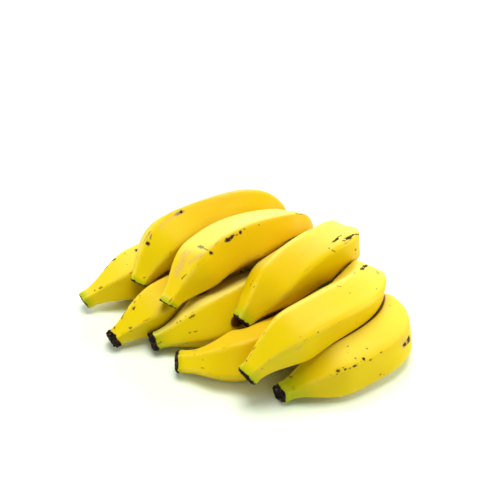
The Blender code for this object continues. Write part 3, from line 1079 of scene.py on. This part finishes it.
def collar_points(finger, sides=60, steps=24):
    """The foot of a stalk, from inside the cushion to where the finger's own stalk meets it."""
    root, out = root_of(finger)
    length = COLLAR_LENGTH[finger.row]
    right = np.cross(out, [0.0, 0.0, 1.0])
    right /= np.linalg.norm(right)
    top = np.cross(right, out)
    turn = np.arange(sides) * 2 * pi / sides
    ridge = radians(finger.ridge + finger.twist * 0.5)
    outward = right * np.sin(turn + ridge)[:, None] + top * np.cos(turn + ridge)[:, None]
    rings = []
    lengths = (COLLAR_START, 0.0, length - COLLAR_TAPER, length - COLLAR_LIP, length)
    shares = (COLLAR_FOOT_SHARE, COLLAR_FOOT_SHARE, COLLAR_LIP_SHARE, COLLAR_LIP_SHARE, 1.0)
    for s in np.linspace(COLLAR_START, length, steps):
        share = np.interp(s, lengths, shares)
        rings.append(root + out * s + outward * (STALK_RADIUS * share * section(turn))[:, None])
    return np.array(rings)


CUT_RIM_WIDTH = 1.6
SEAM_WIDTH = 1.8
SEAM_REACH = 9.0
SEAM_SHARE = 0.75


def make_crown(look):
    """The cushion and its collars, grown into one skin, with its knife cut roughened."""
    meshes = [mesh_of("cushion", cushion_points())]
    meshes += [mesh_of("collar_" + finger.name, collar_points(finger)) for finger in FINGERS]
    vertices, faces = [], []
    for mesh in meshes:
        start = len(vertices)
        vertices += [tuple(v.co) for v in mesh.vertices]
        faces += [[start + k for k in face.vertices] for face in mesh.polygons]
        bpy.data.meshes.remove(mesh)
    joined = bpy.data.meshes.new("crown")
    joined.from_pydata(vertices, [], faces)
    obj = place_object("crown_blank", joined)
    remesh = obj.modifiers.new("grown_together", "REMESH")
    remesh.mode = "VOXEL"
    remesh.voxel_size = CROWN_PITCH * MM
    smooth = obj.modifiers.new("healed", "SMOOTH")
    smooth.factor = 0.6
    smooth.iterations = 6
    mesh = finished_mesh(obj)
    bpy.data.objects.remove(obj, do_unlink=True)

    place = places_of(mesh) / MM + ORIGIN
    slot = (place[:, 0] - CROWN_MIDDLE[0]) / SLOT_SPACING
    face = CROWN_MIDDLE[1] + CROWN_BEND * slot**2 + CROWN_DEPTH - CROWN_CUT
    cut = ease(1 - (face - place[:, 1]) / CUT_RIM_WIDTH)
    rim = np.clip(1 - np.abs(face - place[:, 1] - 1.0) / CUT_RIM_WIDTH, 0, 1)
    for finger in FINGERS:
        root, out = root_of(finger)
        beyond = (place - root) @ out
        aside = np.linalg.norm(place - root - beyond[:, None] * out, axis=1)
        near = np.clip(1 - np.abs(beyond - COLLAR_LENGTH[finger.row]) / SEAM_WIDTH, 0, 1)
        rim = np.maximum(rim, near * (aside < SEAM_REACH) * SEAM_SHARE)
    store(mesh, "peel_place", place, "FLOAT_VECTOR")
    store(mesh, "cut", cut)
    store(mesh, "rim", rim)
    tree = cut_fibre_tree(look)
    crown = grown("crown_skin", mesh, tree, {"Fibre density": 30.0, "Seed": 5})
    lift_clear(crown.data)
    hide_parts("crown")
    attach(crown, "root")


# -------------------- the table, the lights and the camera


TABLE_REACH = 3.0
TABLE_GAP = 0.0001
ROOM_LIGHT = 0.11
LAMP_SIZE = 0.7
LAMP_AIM = (0, 0, 0.03)
WHITE = (1.0, 1.0, 1.0)

# Each lamp's name, its place in metres to the right of, beyond and above the hand, its watts and colour
LAMPS = (
    ("overhead", 0.0, 0.0, 1.2, 14.5, (1.0, 0.99, 0.97)),
    ("low_behind", 0.0, 1.2, 0.4, 8.5, WHITE),
    ("low_right", 1.1, 0.1, 0.4, 11.0, WHITE),
    ("low_left", -1.1, 0.1, 0.4, 7.0, WHITE),
    ("low_front", 0.0, -1.1, 0.35, 2.0, WHITE),
)


def place_table():
    """A wide pale surface under the hand."""
    mesh = bpy.data.meshes.new("table")
    corners = [(x * TABLE_REACH, y * TABLE_REACH, 0) for x, y in ((-1, -1), (1, -1), (1, 1), (-1, 1))]
    mesh.from_pydata(corners, [], [(0, 1, 2, 3)])
    mesh.materials.append(table_material())
    table = place_object("table", mesh)
    table.location.z = -TABLE_GAP


def place_lamp(name, right, away, up, power, colour):
    """A soft square lamp, placed by its distance right of, beyond and above the hand as the camera sees it."""
    turn = radians(AZIMUTH)
    spot = Vector((cos(turn) * right - sin(turn) * away, sin(turn) * right + cos(turn) * away, up))
    lamp = bpy.data.lights.new(name, "AREA")
    lamp.size = LAMP_SIZE
    lamp.energy = power
    lamp.color = colour
    obj = place_object(name, lamp)
    obj.location = spot
    obj.rotation_mode = "QUATERNION"
    obj.rotation_quaternion = (spot - Vector(LAMP_AIM)).to_track_quat("Z", "Y")


def light_studio():
    """A dim even room, a broad lamp above, and low ones behind and on both sides that light the rims."""
    world = bpy.data.worlds.new("studio")
    world.use_nodes = True
    background = world.node_tree.nodes["Background"]
    background.inputs["Color"].default_value = (1.0, 1.0, 1.0, 1.0)
    background.inputs["Strength"].default_value = ROOM_LIGHT
    bpy.context.scene.world = world
    for lamp in LAMPS:
        place_lamp(*lamp)


def place_camera():
    """The camera at the photograph's viewing angle."""
    right, up, back = camera_axes()
    data = bpy.data.cameras.new("camera")
    data.sensor_width = 36.0
    data.lens = FOCAL_LENGTH / FRAME_WIDTH * data.sensor_width
    data.clip_start, data.clip_end = 0.05, 20.0
    camera = place_object("camera", data)
    camera.matrix_world = Matrix(np.stack([right, up, back], axis=1).tolist()).to_4x4()
    camera.location = Vector((camera_place() - ORIGIN) * MM)
    bpy.context.scene.camera = camera


bpy.context.scene.view_settings.view_transform = "Standard"
place_camera()
light_studio()
place_table()
make_fingers(peel_material())
make_crown(crown_material())
